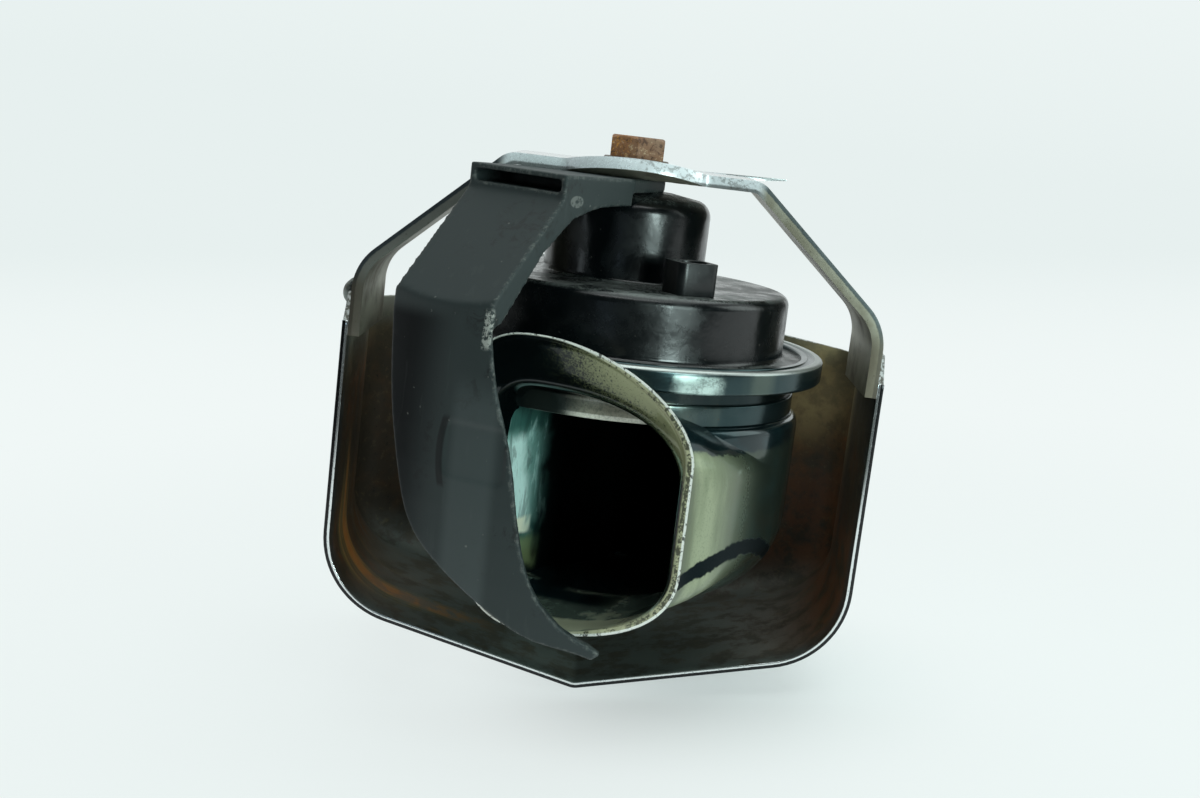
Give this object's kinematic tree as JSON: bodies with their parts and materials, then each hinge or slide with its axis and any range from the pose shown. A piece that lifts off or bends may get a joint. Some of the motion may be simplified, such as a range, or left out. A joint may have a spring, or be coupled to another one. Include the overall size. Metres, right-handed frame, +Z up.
{
  "type": "motorcycle horn",
  "caption": "Electric snail horn hung by one bolt from a strap inside an open-backed chromed cover, with a curved black shield in front of its mouth.",
  "frame": {"origin": "on the axis of the mounting bolt, at the top face of the strap", "axes": "+Z up along the bolt, out of its head; -Y out of the cover's open back, the side in the picture; +X to the right of someone who looks into it"},
  "size_m": [0.1438, 0.1289, 0.1403],
  "materials": {
    "chrome": "polished, rusty inside",
    "strap_steel": "polished, worn edges",
    "weld_metal": "rough",
    "rusty_steel": "rusty",
    "black_plastic": "moulded, matte",
    "black_enamel": "gloss black",
    "green_enamel": "gloss dark green, worn",
    "iron": "plain",
    "brown_plastic": "phenolic",
    "copper_wire": "enamelled winding",
    "spring_steel": "plain",
    "gasket_paper": "pressed",
    "brass": "plain",
    "silver": "bright",
    "zinc": "zinc plated"
  },
  "bodies": {
    "cover": {"cover_shell": "chrome", "strap": "strap_steel", "weld_beads": "weld_metal", "mounting_bolt": "rusty_steel", "flat_washer": "rusty_steel"},
    "horn": {"shroud": "black_plastic", "motor_housing": "black_enamel", "crimp_ring": "green_enamel", "core": "iron", "bobbin": "brown_plastic", "coil": "copper_wire", "gasket_upper": "gasket_paper", "gasket_lower": "gasket_paper", "projector_plate": "green_enamel", "projector_shell": "green_enamel", "scroll_wall": "green_enamel", "terminal_block": "brown_plastic", "terminal_blades": "brass", "terminal_rivets": "brass", "breaker_stack": "brown_plastic", "spring_root": "brass", "fixed_arm": "brass", "fixed_point": "silver", "breaker_rivets": "brass", "adjuster_boss": "black_enamel", "feed_strips": "brass"},
    "armature": {"armature": "iron", "armature_stem": "iron", "stem_nut": "zinc", "diaphragm": "spring_steel"},
    "breaker": {"moving_spring": "brass", "moving_point": "silver"},
    "adjuster": {"adjusting_screw": "zinc"}
  },
  "joints": [
    {"name": "horn_swivel", "type": "hinge", "parent": "cover", "child": "horn", "pos_m": [0, 0, 0], "axis": [0, 0, 1], "range_deg": [0, 40]},
    {"name": "armature_stroke", "type": "slide", "parent": "horn", "child": "armature", "axis": [0, 0, 1], "range_m": [0, 0.0005], "stiffness_N_per_m": 20000, "deforming": ["diaphragm"]},
    {"name": "breaker_rock", "type": "hinge", "parent": "horn", "child": "breaker", "pos_m": [0.01092, -0.03208, -0.0317], "axis": [0.8746, 0.4848, 0], "range_deg": [0, 1.6]},
    {"name": "adjuster_turn", "type": "hinge", "parent": "horn", "child": "adjuster", "pos_m": [0.01551, -0.02799, 0], "axis": [0, 0, 1], "range_deg": [-180, 180]}
  ],
  "couplings": [
    {"joint": "breaker_rock", "follows": "armature_stroke", "rad_per_m": 47.3}
  ]
}
